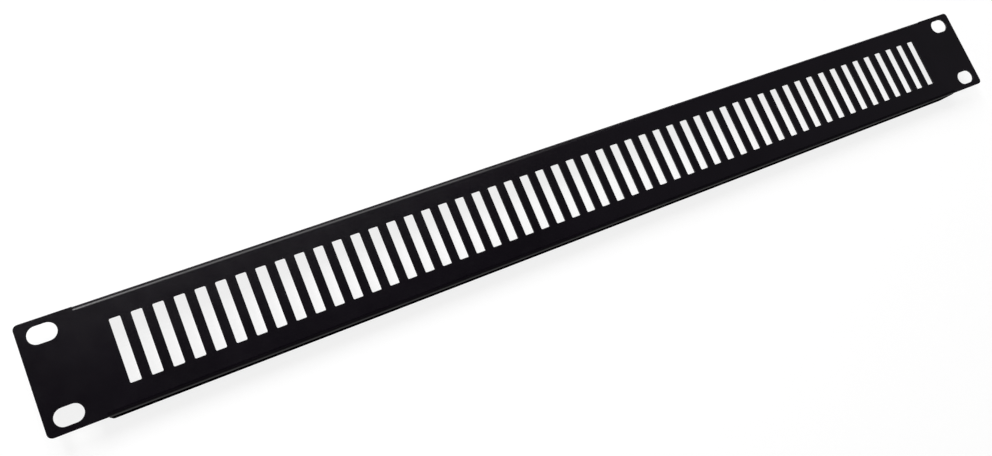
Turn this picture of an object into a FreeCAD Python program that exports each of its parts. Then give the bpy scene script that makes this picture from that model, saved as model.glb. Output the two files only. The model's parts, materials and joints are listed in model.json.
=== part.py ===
import FreeCAD, Part
import os

import Sketcher
from FreeCAD import Vector

# A vented 1U blanking panel for a 19-inch rack, folded from one sheet of steel.
#
# It stands as it is bolted to the rack: X runs along its length, +Z is up and its face looks towards -Y.
# The origin is the middle of the four rack holes, on the back of the ears, where the panel seats on the
# rack's rails. Lengths are in millimetres.

NODE = "blanking_panel"

# Driving sizes: the alias in the spreadsheet, its value, and what it sets.
SIZES = [
    ("panel_length", 482.6, "over both ears: the width of a 19-inch front"),
    ("panel_height", 44.0, "over both flanges: one rack unit less its clearance"),
    ("panel_depth", 11.0, "from the face to the free edges of the flanges"),
    ("sheet_thickness", 1.0, "steel sheet"),
    ("bend_radius", 1.0, "inside radius of both folds"),
    ("ear_length", 20.8, "flat end of the panel, past the end of the flanges"),
    ("ear_setback", 0.2, "from the flange's outer face in to an ear's long edge"),
    ("ear_corner_radius", 2.0, "outer corners of the ears"),
    ("relief_width", 0.1, "hairline slit that parts an ear from the end of each fold"),
    ("flange_corner_radius", 1.0, "free corners of the flanges"),
    ("rack_hole_inset", 8.75, "from the panel's end to the middle of a rack hole"),
    ("rack_hole_border", 6.125, "from the flange's outer face to the middle of a rack hole"),
    ("rack_hole_length", 10.7, "rack hole along X, end to end"),
    ("rack_hole_width", 7.1, "rack hole across"),
    ("vent_pitch", 8.0, "from one vent slot to the next"),
    ("vent_width", 4.2, "vent slot along X"),
    ("vent_border", 9.2, "from the flange's outer face to the end of a vent slot"),
    ("vent_end_margin", 12.0, "least distance from a flange's end to the middle of a vent slot"),
    ("vent_corner_radius", 0.5, "corners of a vent slot"),
]

# Sizes that follow from the driving ones, written once for every sketch and feature that uses them.
FLANGE_LENGTH = "(Sizes.panel_length - 2 * Sizes.ear_length)"
EAR_HEIGHT = "(Sizes.panel_height - 2 * Sizes.ear_setback)"
OUTER_RADIUS = "(Sizes.bend_radius + Sizes.sheet_thickness)"
FLAT_HEIGHT = f"(Sizes.panel_height - 2 * {OUTER_RADIUS})"
FLANGE_FLAT = f"(Sizes.panel_depth - {OUTER_RADIUS})"
RACK_HOLE_SPAN = "(Sizes.panel_length - 2 * Sizes.rack_hole_inset)"
RACK_HOLE_RISE = "(Sizes.panel_height - 2 * Sizes.rack_hole_border)"
RACK_HOLE_STRAIGHT = "(Sizes.rack_hole_length - Sizes.rack_hole_width)"
VENT_HEIGHT = "(Sizes.panel_height - 2 * Sizes.vent_border)"
VENT_COUNT = f"(floor(({FLANGE_LENGTH} - 2 * Sizes.vent_end_margin) / Sizes.vent_pitch) + 1)"
VENT_SPAN = f"((({VENT_COUNT}) - 1) * Sizes.vent_pitch)"

# Coordinates closer than this are the same.
SAME_PLACE = 1e-6

# Points of an edge, and a sketch's own axis and origin, as the sketcher numbers them.
START, END, CENTRE = 1, 2, 3
HORIZONTAL_AXIS = -1
SKETCH_ORIGIN = (HORIZONTAL_AXIS, START)

doc = FreeCAD.newDocument("BlankingPanel")


def make_size_sheet():
    """The spreadsheet that every sketch and feature takes its sizes from."""
    made = doc.addObject("Spreadsheet::Sheet", "Sizes")
    for row, (alias, value, note) in enumerate(SIZES, start=1):
        made.set(f"A{row}", alias)
        made.set(f"B{row}", str(value))
        made.set(f"C{row}", note)
        made.setAlias(f"B{row}", alias)
    doc.recompute()


size = {alias: value for alias, value, note in SIZES}
make_size_sheet()
body = doc.addObject("PartDesign::Body", "BlankingPanel")
body.Label = NODE


def origin_feature(role):
    """One of the body's base planes or axes."""
    return next(item for item in body.Origin.OriginFeatures if item.Role == role)


def new_sketch(name, plane):
    sketch = body.newObject("Sketcher::SketchObject", name)
    sketch.AttachmentSupport = [(origin_feature(plane), "")]
    sketch.MapMode = "FlatFace"
    return sketch


def constrain(sketch, *definition):
    return sketch.addConstraint(Sketcher.Constraint(*definition))


def dimension(sketch, name, expression, *definition):
    """A named dimension that is bound to the spreadsheet."""
    sketch.renameConstraint(constrain(sketch, *definition), name)
    sketch.setExpression(f"Constraints.{name}", expression)


def add_outline(sketch, points, radii):
    """A closed outline through the points, each with its corner radius, as lines joined by tangent arcs.

    Returns the lines, the first one running from the first point to the second, and the arcs by corner.
    """
    count = len(points)
    corners = [Vector(x, y, 0) for x, y in points]
    ahead = [(corners[(i + 1) % count] - corners[i]).normalize() for i in range(count)]
    lines = []
    for i in range(count):
        start = corners[i] + ahead[i] * radii[i]
        end = corners[(i + 1) % count] - ahead[i] * radii[(i + 1) % count]
        lines.append(sketch.addGeometry(Part.LineSegment(start, end)))
    arcs = {}
    for i in range(count):
        before, after = lines[i - 1], lines[i]
        if radii[i] == 0:
            constrain(sketch, "Coincident", before, END, after, START)
            continue
        first = corners[i] - ahead[i - 1] * radii[i]
        last = corners[i] + ahead[i] * radii[i]
        centre = first + ahead[i] * radii[i]
        middle = centre + (corners[i] - centre).normalize() * radii[i]
        arc = Part.Arc(first, middle, last)
        arcs[i] = sketch.addGeometry(arc)
        turns_left = ahead[i - 1].cross(ahead[i]).z > 0
        arc_first, arc_last = (START, END) if turns_left else (END, START)
        constrain(sketch, "Tangent", before, END, arcs[i], arc_first)
        constrain(sketch, "Tangent", arcs[i], arc_last, after, START)
    for i, direction in enumerate(ahead):
        constrain(sketch, "Horizontal" if abs(direction.y) < abs(direction.x) else "Vertical", lines[i])
    return lines, arcs


def fold_profile():
    """The cross-section of the folded sheet: the face and the two flanges behind it."""
    sketch = new_sketch("FoldProfile", "YZ_Plane")
    thick = size["sheet_thickness"]
    inner = size["bend_radius"]
    outer = inner + thick
    top = size["panel_height"] / 2
    edge = size["panel_depth"] - thick
    points = [
        (-thick, top),
        (-thick, -top),
        (edge, -top),
        (edge, -top + thick),
        (0, -top + thick),
        (0, top - thick),
        (edge, top - thick),
        (edge, top),
    ]
    lines, arcs = add_outline(sketch, points, [outer, outer, 0, 0, inner, inner, 0, 0])
    face, bottom, bottom_edge, bottom_inside, back, top_inside, top_edge, top_outside = lines
    for outside, inside in ((0, 5), (1, 4)):
        constrain(sketch, "Coincident", arcs[outside], CENTRE, arcs[inside], CENTRE)
    constrain(sketch, "Symmetric", back, START, back, END, *SKETCH_ORIGIN)
    constrain(sketch, "Vertical", bottom_edge, START, top_edge, END)
    flat = 2 * (top - outer)
    flange_flat = edge + thick - outer
    dimension(sketch, "FlatHeight", FLAT_HEIGHT, "DistanceY", back, START, back, END, flat)
    dimension(sketch, "Thickness", "Sizes.sheet_thickness", "DistanceX", face, START, back, END, thick)
    dimension(sketch, "InsideRadius", "Sizes.bend_radius", "Radius", arcs[5], inner)
    dimension(sketch, "FlangeFlat", FLANGE_FLAT, "DistanceX", bottom, START, bottom, END, flange_flat)
    return sketch


def ear_outline():
    """The left ear, flat up to where the flanges end, with rounded outer corners."""
    sketch = new_sketch("EarOutline", "XZ_Plane")
    outer_x = -size["panel_length"] / 2
    inner_x = outer_x + size["ear_length"]
    top = size["panel_height"] / 2 - size["ear_setback"]
    radius = size["ear_corner_radius"]
    points = [(outer_x, top), (outer_x, -top), (inner_x, -top), (inner_x, top)]
    (end, bottom, joint, upper), arcs = add_outline(sketch, points, [radius, radius, 0, 0])
    constrain(sketch, "Equal", arcs[0], arcs[1])
    dimension(sketch, "Top", f"{EAR_HEIGHT} / 2", "DistanceY", *SKETCH_ORIGIN, joint, END, top)
    dimension(sketch, "Bottom", f"{EAR_HEIGHT} / 2", "DistanceY", joint, START, *SKETCH_ORIGIN, top)
    dimension(sketch, "CornerRadius", "Sizes.ear_corner_radius", "Radius", arcs[0], radius)
    to_end = (end, START, *SKETCH_ORIGIN)
    to_joint = (joint, START, *SKETCH_ORIGIN)
    dimension(sketch, "End", "Sizes.panel_length / 2", "DistanceX", *to_end, -outer_x)
    dimension(sketch, "Joint", f"{FLANGE_LENGTH} / 2", "DistanceX", *to_joint, -inner_x)
    return sketch


def rack_hole_outlines():
    """The two oblong rack holes of the left ear, each with full round ends."""
    sketch = new_sketch("RackHoleOutlines", "XZ_Plane")
    middle_x = -size["panel_length"] / 2 + size["rack_hole_inset"]
    rise = size["panel_height"] / 2 - size["rack_hole_border"]
    radius = size["rack_hole_width"] / 2
    reach = size["rack_hole_length"] / 2 - radius
    for side, name in ((1, "Upper"), (-1, "Lower")):
        middle_z = side * rise
        left = Vector(middle_x - reach, middle_z, 0)
        right = Vector(middle_x + reach, middle_z, 0)
        over = Vector(0, radius, 0)
        out = Vector(radius, 0, 0)
        lower = sketch.addGeometry(Part.LineSegment(left - over, right - over))
        upper = sketch.addGeometry(Part.LineSegment(right + over, left + over))
        right_end = sketch.addGeometry(Part.Arc(right - over, right + out, right + over))
        left_end = sketch.addGeometry(Part.Arc(left + over, left - out, left - over))
        constrain(sketch, "Tangent", lower, END, right_end, START)
        constrain(sketch, "Tangent", right_end, END, upper, START)
        constrain(sketch, "Tangent", upper, END, left_end, START)
        constrain(sketch, "Tangent", left_end, END, lower, START)
        constrain(sketch, "Horizontal", lower)
        middle = sketch.addGeometry(Part.Point(Vector(middle_x, middle_z, 0)), True)
        constrain(sketch, "Symmetric", left_end, CENTRE, right_end, CENTRE, middle, START)
        dimension(sketch, f"{name}Radius", "Sizes.rack_hole_width / 2", "Radius", right_end, radius)
        straight = (lower, START, lower, END)
        to_origin = (middle, START, *SKETCH_ORIGIN)
        rising = (*SKETCH_ORIGIN, middle, START) if side > 0 else to_origin
        dimension(sketch, f"{name}Straight", RACK_HOLE_STRAIGHT, "DistanceX", *straight, reach * 2)
        dimension(sketch, f"{name}X", f"{RACK_HOLE_SPAN} / 2", "DistanceX", *to_origin, -middle_x)
        dimension(sketch, f"{name}Z", f"{RACK_HOLE_RISE} / 2", "DistanceY", *rising, rise)
    return sketch


def relief_outlines():
    """The slits that part the left ear from the ends of the two folds, from the face's flat outwards."""
    sketch = new_sketch("ReliefOutlines", "XZ_Plane")
    inner_x = -size["panel_length"] / 2 + size["ear_length"]
    outer_x = inner_x - size["relief_width"]
    root = size["panel_height"] / 2 - size["bend_radius"] - size["sheet_thickness"]
    top = size["panel_height"] / 2
    for side, name in ((1, "Upper"), (-1, "Lower")):
        low, high = sorted((side * root, side * top))
        points = [(outer_x, low), (inner_x, low), (inner_x, high), (outer_x, high)]
        (bottom, joint, upper, outer), _ = add_outline(sketch, points, [0, 0, 0, 0])
        across = (bottom, START, bottom, END)
        to_origin = (joint, START, *SKETCH_ORIGIN)
        dimension(sketch, f"{name}Width", "Sizes.relief_width", "DistanceX", *across, inner_x - outer_x)
        dimension(sketch, f"{name}Joint", f"{FLANGE_LENGTH} / 2", "DistanceX", *to_origin, -inner_x)
        if side > 0:
            to_root = (*SKETCH_ORIGIN, joint, START)
            to_edge = (*SKETCH_ORIGIN, joint, END)
        else:
            to_root = (joint, END, *SKETCH_ORIGIN)
            to_edge = (joint, START, *SKETCH_ORIGIN)
        dimension(sketch, f"{name}Root", f"{FLAT_HEIGHT} / 2", "DistanceY", *to_root, root)
        dimension(sketch, f"{name}Edge", "Sizes.panel_height / 2", "DistanceY", *to_edge, top)
    return sketch


def vent_outline():
    """The vent slot at the left end of the row."""
    sketch = new_sketch("VentOutline", "XZ_Plane")
    room = size["panel_length"] - 2 * size["ear_length"] - 2 * size["vent_end_margin"]
    middle_x = -(room // size["vent_pitch"]) * size["vent_pitch"] / 2
    half_width = size["vent_width"] / 2
    half_height = size["panel_height"] / 2 - size["vent_border"]
    radius = size["vent_corner_radius"]
    left, right = middle_x - half_width, middle_x + half_width
    points = [(left, -half_height), (right, -half_height), (right, half_height), (left, half_height)]
    (bottom, right_side, top, left_side), arcs = add_outline(sketch, points, [radius] * 4)
    for corner in (1, 2, 3):
        constrain(sketch, "Equal", arcs[0], arcs[corner])
    middle = sketch.addGeometry(Part.Point(Vector(middle_x, 0, 0)), True)
    across = (left_side, START, right_side, END)
    to_origin = (middle, START, *SKETCH_ORIGIN)
    constrain(sketch, "PointOnObject", middle, START, HORIZONTAL_AXIS)
    constrain(sketch, "Symmetric", left_side, END, right_side, END, middle, START)
    dimension(sketch, "CornerRadius", "Sizes.vent_corner_radius", "Radius", arcs[0], radius)
    dimension(sketch, "Width", "Sizes.vent_width", "DistanceX", *across, half_width * 2)
    dimension(sketch, "Height", VENT_HEIGHT, "DistanceY", bottom, START, top, END, half_height * 2)
    dimension(sketch, "FirstX", f"{VENT_SPAN} / 2", "DistanceX", *to_origin, -middle_x)
    return sketch


def finish(feature):
    """Makes the feature the body's latest, and brings its shape up to date."""
    body.Tip = feature
    doc.recompute()
    return feature


def pad(name, sketch, length, side_type):
    feature = body.newObject("PartDesign::Pad", name)
    feature.Profile = sketch
    feature.SideType = side_type
    feature.setExpression("Length", length)
    return finish(feature)


def cut_through(name, sketch):
    """A pocket right through the sheet, both ways from its back face."""
    before = body.Shape.Volume
    feature = body.newObject("PartDesign::Pocket", name)
    feature.Profile = sketch
    feature.Type = "ThroughAll"
    feature.SideType = "Symmetric"
    finish(feature)
    if not body.Shape.Volume < before:
        raise RuntimeError(f"{name} cuts nothing")
    return feature


def fold_channel():
    """The face with its two folds, as long as the flanges."""
    return pad("FoldedSheet", fold_profile(), FLANGE_LENGTH, "Symmetric")


def add_ears():
    """The left ear with its rack holes and slits, and the same at the right end."""
    ear = pad("Ear", ear_outline(), "Sizes.sheet_thickness", "One side")
    holes = cut_through("RackHoles", rack_hole_outlines())
    slits = cut_through("BendReliefs", relief_outlines())
    mirrored = body.newObject("PartDesign::Mirrored", "OtherEnd")
    mirrored.Originals = [ear, holes, slits]
    mirrored.MirrorPlane = (origin_feature("YZ_Plane"), [""])
    return finish(mirrored)


def punch_vents():
    """The row of vent slots."""
    first = cut_through("FirstVent", vent_outline())
    row = body.newObject("PartDesign::LinearPattern", "VentRow")
    row.Originals = [first]
    row.Direction = (origin_feature("X_Axis"), [""])
    row.Mode = "Spacing"
    row.setExpression("Offset", "Sizes.vent_pitch")
    row.setExpression("Occurrences", VENT_COUNT)
    return finish(row)


def round_flange_corners():
    """Rounds the four free corners of the flanges: the edges along Z at both ends of each free edge."""
    shape = body.Shape
    back = shape.BoundBox.YMax
    corners = []
    for number, edge in enumerate(shape.Edges, start=1):
        ends = [vertex.Point for vertex in edge.Vertexes]
        if len(ends) == 2 and all(abs(point.y - back) < SAME_PLACE for point in ends):
            if abs(ends[0].x - ends[1].x) < SAME_PLACE:
                corners.append(f"Edge{number}")
    if len(corners) != 4:
        raise RuntimeError(f"the flanges have {len(corners)} free corners")
    before = body.Tip
    fillet = body.newObject("PartDesign::Fillet", "FlangeCorners")
    fillet.Base = (before, corners)
    fillet.setExpression("Radius", "Sizes.flange_corner_radius")
    return finish(fillet)


def check_document():
    """Stops if any object failed or the panel isn't one valid solid."""
    for item in doc.Objects:
        if "Invalid" in item.State or "Error" in item.State:
            raise RuntimeError(f"{item.Name} failed: {item.State}")
    shape = body.Shape
    if shape.isNull() or not shape.isValid() or len(shape.Solids) != 1:
        raise RuntimeError("the panel isn't one valid solid")


fold_channel()
round_flange_corners()
add_ears()
punch_vents()
body.Placement = FreeCAD.Placement(Vector(0, 0, 0), FreeCAD.Rotation())
doc.recompute()
check_document()

os.makedirs("parts", exist_ok=True)
body.Shape.exportStep(f"parts/{body.Label}.step")
box = body.Shape.BoundBox
print(f"{body.Label}: {box.XLength:.2f} x {box.YLength:.2f} x {box.ZLength:.2f} mm")
print(f"volume {body.Shape.Volume:.1f} mm3")
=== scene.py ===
import json
import math

import bmesh
import bpy
from mathutils import Matrix, Vector


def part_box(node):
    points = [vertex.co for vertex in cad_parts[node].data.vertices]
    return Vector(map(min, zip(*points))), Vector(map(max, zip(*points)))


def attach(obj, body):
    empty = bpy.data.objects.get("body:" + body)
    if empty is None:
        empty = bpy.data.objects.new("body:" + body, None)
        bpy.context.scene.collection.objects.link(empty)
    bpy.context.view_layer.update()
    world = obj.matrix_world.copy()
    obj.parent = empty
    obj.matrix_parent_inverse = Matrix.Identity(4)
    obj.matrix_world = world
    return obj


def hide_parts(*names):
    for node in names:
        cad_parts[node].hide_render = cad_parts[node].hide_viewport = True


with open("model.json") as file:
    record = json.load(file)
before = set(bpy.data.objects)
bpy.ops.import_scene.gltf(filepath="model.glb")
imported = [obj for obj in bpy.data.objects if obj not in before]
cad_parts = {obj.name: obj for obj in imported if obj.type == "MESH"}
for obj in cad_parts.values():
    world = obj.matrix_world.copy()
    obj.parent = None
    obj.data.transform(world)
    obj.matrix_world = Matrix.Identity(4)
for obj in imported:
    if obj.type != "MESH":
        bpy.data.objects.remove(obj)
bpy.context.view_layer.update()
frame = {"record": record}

# A vented blanking panel for a 19-inch rack, as folded, punched and powder coated: satin black paint on
# thin steel sheet. The sheet's outer face is drawn flat, then folded along both long edges, given its
# thickness, and given the soft edges that a baked coat leaves.

MM = 0.001
NODE = "blanking_panel"

low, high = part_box(NODE)
rack_holes = next(mount for mount in frame["record"]["mounts"] if mount["name"] == "rack_holes")["dims"]

# The sheet and its folds.
SHEET = 1.0 * MM
FOLD_RADIUS = 2.0 * MM          # on the outside
FOLD_STEPS = 14
FACE_Y = low.y
FLANGE_EDGE_Y = high.y
FOLD_END_Y = FACE_Y + FOLD_RADIUS
HALF_LENGTH = high.x
HALF_HEIGHT = high.z
FLAT_HALF_HEIGHT = HALF_HEIGHT - FOLD_RADIUS

# The ears, past the ends of the flanges, and the slits that part them from the folds.
EAR_LENGTH = 20.8 * MM
EAR_HALF_HEIGHT = HALF_HEIGHT - 0.2 * MM
EAR_CORNER = 2.0 * MM
EAR_CORNER_STEPS = 10
SLIT = 0.02 * MM                # 0.1 mm in the steel, all but closed by the coat
FLANGE_END_X = HALF_LENGTH - EAR_LENGTH
FLANGE_CORNER = 1.0 * MM
FLANGE_CORNER_STEPS = 8

# The vent slots, and the rack holes with their round ends.
VENT_COUNT = 53
VENT_PITCH = 8.0 * MM
VENT_HALF_WIDTH = 2.1 * MM
VENT_HALF_HEIGHT = HALF_HEIGHT - 9.2 * MM
VENT_CORNER = 0.5 * MM
VENT_CORNER_STEPS = 5
ROW_HALF_LENGTH = VENT_COUNT * VENT_PITCH / 2
HOLE_X = rack_holes["spacing_x_mm"] / 2 * MM
HOLE_Z = rack_holes["spacing_y_mm"] / 2 * MM
HOLE_HALF_LENGTH = rack_holes["slot_length_mm"] / 2 * MM
HOLE_RADIUS = rack_holes["hole_r_mm"] * MM
HOLE_END_STEPS = 12
HOLE_RIM = 1.08                 # a rim of even faces round a hole, as a share of its size

# The coat rounds every cut edge.
COAT_EDGE = 0.13 * MM
COAT_EDGE_STEPS = 3
CUT_EDGE_ANGLE = math.radians(40)
ALONG_AXIS = 0.9999             # the share of its normal by which a flat face looks along an axis

NEAR = 0.01 * MM                # a point this close to a place is at it
MERGE = 0.001 * MM              # points this close are one


# ---------------------------------------------------------------- ways of working


def make_active(piece):
    bpy.ops.object.select_all(action="DESELECT")
    piece.select_set(True)
    bpy.context.view_layer.objects.active = piece


def begin_edit(piece):
    make_active(piece)
    bpy.ops.object.mode_set(mode="EDIT")


def end_edit():
    bpy.ops.object.mode_set(mode="OBJECT")


def new_piece(name):
    """A piece at the origin, ready to be drawn in edit mode."""
    bpy.ops.object.select_all(action="DESELECT")
    bpy.ops.mesh.primitive_plane_add(size=1)
    piece = bpy.context.active_object
    piece.name = name
    piece.data.name = name
    begin_edit(piece)
    bpy.ops.mesh.delete(type="VERT")
    return piece


def near(a, b):
    return abs(a - b) < NEAR


def pick_points(test):
    """Selects just the points whose place passes the test."""
    bpy.ops.mesh.select_mode(type="VERT")
    bpy.ops.mesh.select_all(action="DESELECT")
    data = bpy.context.edit_object.data
    for point in bmesh.from_edit_mesh(data).verts:
        if test(point.co):
            point.select_set(True)
    bmesh.update_edit_mesh(data)


def pick_edges(test):
    """Selects just the edges with both ends at places that pass the test."""
    bpy.ops.mesh.select_mode(type="EDGE")
    bpy.ops.mesh.select_all(action="DESELECT")
    data = bpy.context.edit_object.data
    for edge in bmesh.from_edit_mesh(data).edges:
        if all(test(point.co) for point in edge.verts):
            edge.select_set(True)
    bmesh.update_edit_mesh(data)


def pick_cut_edges():
    """Selects just the edges that are sharper than any in a fold or a round corner."""
    bpy.ops.mesh.select_mode(type="EDGE")
    bpy.ops.mesh.select_all(action="DESELECT")
    bpy.ops.mesh.edges_select_sharp(sharpness=CUT_EDGE_ANGLE)


def merge_points():
    bpy.ops.mesh.select_all(action="SELECT")
    bpy.ops.mesh.remove_doubles(threshold=MERGE)


def add_outline(middle_x, middle_z, half_width, half_height, corner=0.0, steps=1):
    """Draws a rectangle's outline in the plane of the face, with its corners rounded if asked."""
    middle = (middle_x, FACE_Y, middle_z)
    bpy.ops.mesh.select_mode(type="VERT")
    bpy.ops.mesh.select_all(action="DESELECT")
    bpy.ops.mesh.primitive_plane_add(size=2, location=middle, rotation=(math.pi / 2, 0, 0))
    bpy.ops.transform.resize(value=(half_width, 1, half_height), center_override=middle)
    if corner:
        bpy.ops.mesh.bevel(offset=corner, segments=steps, affect="VERTICES")
    bpy.ops.mesh.delete(type="ONLY_FACE")


def fill_between_outlines(test):
    """Fills the plane inside the outlines that pass the test, and leaves the holes in it open."""
    pick_edges(test)
    bpy.ops.mesh.fill(use_beauty=True)


def apply_modifier(piece, kind, **settings):
    make_active(piece)
    modifier = piece.modifiers.new(kind.title(), kind)
    for name, value in settings.items():
        setattr(modifier, name, value)
    bpy.ops.object.modifier_apply(modifier=modifier.name)


# ---------------------------------------------------------------- the panel


def draw_vent_row():
    """One bay of the face with its slot, repeated along the row."""
    piece = new_piece("painted_panel")
    first_x = VENT_PITCH / 2 - ROW_HALF_LENGTH
    add_outline(first_x, 0, VENT_PITCH / 2, FLAT_HALF_HEIGHT)
    add_outline(first_x, 0, VENT_HALF_WIDTH, VENT_HALF_HEIGHT, VENT_CORNER, VENT_CORNER_STEPS)
    fill_between_outlines(lambda place: True)
    end_edit()
    apply_modifier(piece, "ARRAY", count=VENT_COUNT, use_relative_offset=False, use_constant_offset=True,
                   constant_offset_displace=(VENT_PITCH, 0, 0), use_merge_vertices=True,
                   merge_threshold=NEAR)
    return piece


def add_plain_end(side):
    """The unpunched end of the face, then the short neck beside the slits."""
    row_end = side * ROW_HALF_LENGTH
    flange_end = side * FLANGE_END_X
    pick_edges(lambda place: near(place.x, row_end))
    bpy.ops.mesh.extrude_edges_move(TRANSFORM_OT_translate={"value": (flange_end - row_end, 0, 0)})
    bpy.ops.mesh.extrude_edges_move(TRANSFORM_OT_translate={"value": (side * SLIT, 0, 0)})


def add_rack_hole_rim(side, level):
    """Draws the narrow rim of a rack hole in, from where the ear's fill stops to the hole's edge."""
    middle = Vector((side * HOLE_X, FACE_Y, level))
    reach = HOLE_RIM * HOLE_HALF_LENGTH + NEAR
    pick_edges(lambda place: (place - middle).length < reach)
    bpy.ops.mesh.extrude_edges_move(TRANSFORM_OT_translate={"value": (0, 0, 0)})
    bpy.ops.transform.resize(value=(1 / HOLE_RIM, 1, 1 / HOLE_RIM), center_override=middle)


def add_ear(side):
    """The ear: its outline is cut where the neck meets it, and filled round the two rack holes."""
    inner = side * (FLANGE_END_X + SLIT)
    outer = side * HALF_LENGTH
    add_outline((inner + outer) / 2, 0, abs(outer - inner) / 2, EAR_HALF_HEIGHT)
    pick_points(lambda place: near(place.x, outer))
    bpy.ops.mesh.bevel(offset=EAR_CORNER, segments=EAR_CORNER_STEPS, affect="VERTICES")
    for level in (-FLAT_HALF_HEIGHT, FLAT_HALF_HEIGHT):
        pick_edges(lambda place: near(place.x, inner))
        bpy.ops.mesh.bisect(plane_co=(inner, FACE_Y, level), plane_no=(0, 0, 1))
    rim_radius = HOLE_RIM * HOLE_RADIUS
    for level in (-HOLE_Z, HOLE_Z):
        add_outline(side * HOLE_X, level, HOLE_RIM * HOLE_HALF_LENGTH, rim_radius, rim_radius,
                    HOLE_END_STEPS)
    merge_points()
    fill_between_outlines(lambda place: place.x * side > inner * side - NEAR)
    for level in (-HOLE_Z, HOLE_Z):
        add_rack_hole_rim(side, level)


def fold_flange(side):
    """Folds a long edge back through a quarter turn and draws the flange out to its depth."""
    level = side * FLAT_HALF_HEIGHT
    pick_edges(lambda place: near(place.z, level) and abs(place.x) < FLANGE_END_X + NEAR)
    bpy.ops.mesh.spin(steps=FOLD_STEPS, angle=side * math.pi / 2, center=(0, FOLD_END_Y, level),
                      axis=(1, 0, 0))
    pick_edges(lambda place: near(place.z, side * HALF_HEIGHT))
    flat_depth = FLANGE_EDGE_Y - FOLD_END_Y
    bpy.ops.mesh.extrude_edges_move(TRANSFORM_OT_translate={"value": (0, flat_depth, 0)})
    pick_points(lambda place: near(place.y, FLANGE_EDGE_Y) and near(abs(place.x), FLANGE_END_X)
                and place.z * side > 0)
    bpy.ops.mesh.bevel(offset=FLANGE_CORNER, segments=FLANGE_CORNER_STEPS, affect="VERTICES")


def face_forwards(piece):
    """Turns every face of the open sheet the same way, its front looking towards -Y."""
    begin_edit(piece)
    bpy.ops.mesh.select_all(action="SELECT")
    bpy.ops.mesh.normals_make_consistent(inside=False)
    end_edit()
    if sum(face.normal.y * face.area for face in piece.data.polygons) > 0:
        begin_edit(piece)
        bpy.ops.mesh.select_all(action="SELECT")
        bpy.ops.mesh.flip_normals()
        end_edit()


def beside_slit(place):
    in_slit = FLANGE_END_X - NEAR < abs(place.x) < FLANGE_END_X + SLIT + NEAR
    return in_slit and abs(place.z) > FLAT_HALF_HEIGHT - NEAR and place.y < FOLD_END_Y + NEAR


def round_cut_edges(piece):
    """Rounds every cut edge but those of the slits, which are narrower than the rounding."""
    begin_edit(piece)
    pick_cut_edges()
    for edge in bmesh.from_edit_mesh(piece.data).edges:
        if all(beside_slit(point.co) for point in edge.verts):
            edge.select_set(False)
    bmesh.update_edit_mesh(piece.data)
    bpy.ops.mesh.bevel(offset=COAT_EDGE, segments=COAT_EDGE_STEPS, affect="EDGES", clamp_overlap=False)
    merge_points()
    end_edit()


def shade(piece):
    """Keeps flat faces flat, shades folds and rounds smooth, and parts the shading at cut edges."""
    for face in piece.data.polygons:
        face.use_smooth = max(abs(part) for part in face.normal) < ALONG_AXIS
    begin_edit(piece)
    pick_cut_edges()
    bpy.ops.mesh.mark_sharp()
    end_edit()


def make_panel():
    piece = draw_vent_row()
    begin_edit(piece)
    for side in (-1, 1):
        add_plain_end(side)
        add_ear(side)
    for side in (-1, 1):
        fold_flange(side)
    merge_points()
    end_edit()
    face_forwards(piece)
    apply_modifier(piece, "SOLIDIFY", thickness=SHEET, offset=-1, use_even_offset=True, use_rim=True)
    round_cut_edges(piece)
    shade(piece)
    return piece


panel = make_panel()
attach(panel, "root")
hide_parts(NODE)

# ---------------------------------------------------------------- the coat


class Nodes:
    """The shader nodes of a material or a world, built one by one."""

    def __init__(self, owner):
        owner.use_nodes = True
        self.tree = owner.node_tree
        self.tree.nodes.clear()

    def add(self, kind, values=None, **settings):
        node = self.tree.nodes.new(kind)
        for name, value in settings.items():
            setattr(node, name, value)
        for name, value in (values or {}).items():
            node.inputs[name].default_value = value
        return node

    def link(self, source, target):
        self.tree.links.new(source, target)

    def noise(self, place, scale, detail, start, end):
        """A noise over the piece whose middle range is stretched from start to end."""
        texture = self.add("ShaderNodeTexNoise", {"Scale": scale, "Detail": detail})
        stretch = self.add("ShaderNodeMapRange", {"From Min": 0.3, "From Max": 0.7, "To Min": start,
                                                  "To Max": end})
        self.link(place, texture.inputs["Vector"])
        self.link(texture.outputs["Fac"], stretch.inputs["Value"])
        return stretch.outputs["Result"]

    def blend(self, factor, first, second):
        """A colour between two others."""
        mix = self.add("ShaderNodeMix", data_type="RGBA")
        mix.inputs["A"].default_value = (*first, 1)
        mix.inputs["B"].default_value = (*second, 1)
        self.link(factor, mix.inputs["Factor"])
        return mix.outputs["Result"]

    def either(self, first, second):
        """The larger of two values."""
        larger = self.add("ShaderNodeMath", operation="MAXIMUM")
        self.link(first, larger.inputs[0])
        self.link(second, larger.inputs[1])
        return larger.outputs["Value"]


COAT_BLACK = (0.0020, 0.0011, 0.0028)
COAT_PALER_BLACK = (0.0032, 0.0020, 0.0042)
PEEL_HEIGHT = 0.02 * MM


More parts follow.
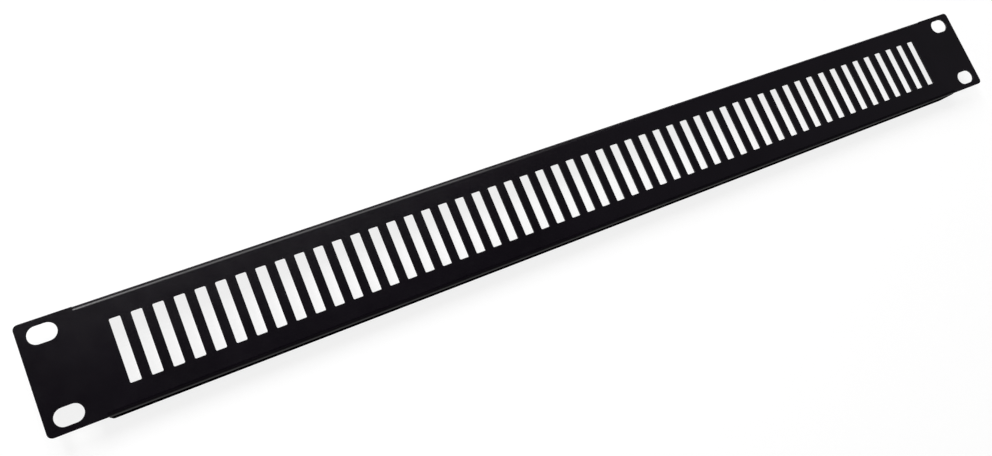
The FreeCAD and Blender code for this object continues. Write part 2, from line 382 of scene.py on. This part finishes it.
def black_powder_coat():
    """Satin black: a near-black that drifts a little, an uneven gloss and a fine orange peel."""
    material = bpy.data.materials.new("black_powder_coat")
    nodes = Nodes(material)
    place = nodes.add("ShaderNodeTexCoord").outputs["Object"]
    shader = nodes.add("ShaderNodeBsdfPrincipled", {"IOR": 1.45})
    output = nodes.add("ShaderNodeOutputMaterial")
    nodes.link(shader.outputs["BSDF"], output.inputs["Surface"])

    drift = nodes.noise(place, 45, 4, 0, 1)
    black = nodes.blend(drift, COAT_BLACK, COAT_PALER_BLACK)
    nodes.link(black, shader.inputs["Base Color"])
    nodes.link(nodes.noise(place, 120, 3, 0.22, 0.26), shader.inputs["Roughness"])

    # The peel dulls the coat at a low angle, where a smooth one would shine.
    facing = nodes.add("ShaderNodeLayerWeight", {"Blend": 0.5}).outputs["Facing"]
    dulled = nodes.add("ShaderNodeMapRange", {"From Min": 0.45, "From Max": 0.7, "To Min": 0.25,
                                              "To Max": 0.0})
    nodes.link(facing, dulled.inputs["Value"])
    nodes.link(dulled.outputs["Result"], shader.inputs["Specular IOR Level"])

    peel = nodes.add("ShaderNodeBump", {"Strength": 0.4, "Distance": PEEL_HEIGHT})
    nodes.link(nodes.noise(place, 1700, 2, 0, 1), peel.inputs["Height"])
    nodes.link(peel.outputs["Normal"], shader.inputs["Normal"])
    return material


panel.data.materials.clear()
panel.data.materials.append(black_powder_coat())

# ---------------------------------------------------------------- the stage

# The panel stands against a pale backdrop that its flanges just miss. A pale floor lies far below.
BACKDROP_Y = FLANGE_EDGE_Y + 0.2 * MM
FLOOR_Z = -0.45
STAGE_HALF = 3.0
PALE = (0.18, 0.18, 0.18)
PALE_DRIFT = (0.176, 0.176, 0.176)
GLOW = 0.84


def pale_surface(name, seen_in_gloss):
    """A pale surface that the camera sees as white, whose glow never lights the object.

    It is open from behind, and to the light of the lamps, so that the object's back is seen and lit.
    """
    material = bpy.data.materials.new(name)
    nodes = Nodes(material)
    place = nodes.add("ShaderNodeTexCoord").outputs["Object"]
    ray = nodes.add("ShaderNodeLightPath").outputs
    shader = nodes.add("ShaderNodeBsdfPrincipled", {"Emission Color": (1, 1, 1, 1),
                                                    "Specular IOR Level": 0})
    pale = nodes.blend(nodes.noise(place, 30, 2, 0, 1), PALE, PALE_DRIFT)
    nodes.link(pale, shader.inputs["Base Color"])
    nodes.link(nodes.noise(place, 60, 2, 0.85, 0.95), shader.inputs["Roughness"])

    seen = nodes.either(ray["Is Camera Ray"], ray["Is Transmission Ray"])
    if seen_in_gloss:
        seen = nodes.either(seen, ray["Is Glossy Ray"])
    glow = nodes.add("ShaderNodeMapRange", {"To Min": 0, "To Max": GLOW})
    nodes.link(seen, glow.inputs["Value"])
    nodes.link(glow.outputs["Result"], shader.inputs["Emission Strength"])

    behind = nodes.add("ShaderNodeNewGeometry").outputs["Backfacing"]
    mixed = nodes.add("ShaderNodeMixShader")
    nodes.link(nodes.either(behind, ray["Is Shadow Ray"]), mixed.inputs["Fac"])
    nodes.link(shader.outputs["BSDF"], mixed.inputs[1])
    nodes.link(nodes.add("ShaderNodeBsdfTransparent").outputs["BSDF"], mixed.inputs[2])
    output = nodes.add("ShaderNodeOutputMaterial")
    nodes.link(mixed.outputs["Shader"], output.inputs["Surface"])
    return material


def add_stage_plane(name, place, turn, material):
    bpy.ops.object.select_all(action="DESELECT")
    bpy.ops.mesh.primitive_plane_add(size=2 * STAGE_HALF, location=place, rotation=turn)
    plane = bpy.context.active_object
    plane.name = name
    plane.data.name = name
    plane.data.materials.append(material)


add_stage_plane("backdrop", (0, BACKDROP_Y, STAGE_HALF + FLOOR_Z), (math.pi / 2, 0, 0),
                pale_surface("backdrop_white", seen_in_gloss=True))
add_stage_plane("floor", (0, BACKDROP_Y, FLOOR_Z), (0, 0, 0),
                pale_surface("floor_white", seen_in_gloss=False))


def add_lamp(name, place, width, height, power):
    """A soft lamp, in metres and watts, aimed at the middle of the panel."""
    lamp = bpy.data.lights.new(name, "AREA")
    lamp.shape = "RECTANGLE"
    lamp.size = width
    lamp.size_y = height
    lamp.energy = power
    holder = bpy.data.objects.new(name, lamp)
    holder.location = place
    holder.rotation_euler = (-Vector(place)).to_track_quat("-Z", "Y").to_euler()
    holder.visible_camera = False
    bpy.context.scene.collection.objects.link(holder)


# The first lamp lights the face and runs along the upper fold, which the second brightens at its left
# end. Two dim ones at the sides soften the shadow and lend the face a sheen, and one lights the back.
add_lamp("upper_front", (-0.04, -0.74, 0.66), 0.80, 0.72, 11)
add_lamp("upper_left", (-0.38, -0.72, 0.58), 0.12, 0.40, 3)
add_lamp("left", (-1.20, -0.50, 0.20), 0.60, 0.60, 3.5)
add_lamp("right", (0.90, -0.90, 0.15), 1.00, 0.80, 0.5)
add_lamp("rear", (0.50, 1.00, 0.80), 0.80, 0.80, 8)

# The camera sees white all round, and a little of that light reaches the panel.
STUDIO_WHITE = 1.0
STUDIO_FILL = 0.07

studio = bpy.data.worlds.new("studio")
bpy.context.scene.world = studio
sky = Nodes(studio)
sky_ray = sky.add("ShaderNodeLightPath").outputs
sky_strength = sky.add("ShaderNodeMapRange", {"To Min": STUDIO_FILL, "To Max": STUDIO_WHITE})
background = sky.add("ShaderNodeBackground", {"Color": (1, 1, 1, 1)})
sky_output = sky.add("ShaderNodeOutputWorld")
sky.link(sky_ray["Is Camera Ray"], sky_strength.inputs["Value"])
sky.link(sky_strength.outputs["Result"], background.inputs["Strength"])
sky.link(background.outputs["Background"], sky_output.inputs["Surface"])

# ---------------------------------------------------------------- the camera

CAMERA_PLACE = Vector((-0.17354, -0.33646, -0.05465))
CAMERA_AIM = Vector((-0.05371, -0.00100, -0.00525))
CAMERA_ROLL = math.radians(-22.87)

lens = bpy.data.cameras.new("camera")
lens.lens = 30.0
lens.sensor_width = 36.0
lens.clip_start = 0.01
camera = bpy.data.objects.new("camera", lens)
level_turn = (CAMERA_AIM - CAMERA_PLACE).to_track_quat("-Z", "Y").to_matrix()
camera.location = CAMERA_PLACE
camera.rotation_euler = (level_turn @ Matrix.Rotation(CAMERA_ROLL, 3, "Z")).to_euler()
bpy.context.scene.collection.objects.link(camera)
bpy.context.scene.camera = camera
bpy.context.scene.view_settings.view_transform = "Standard"
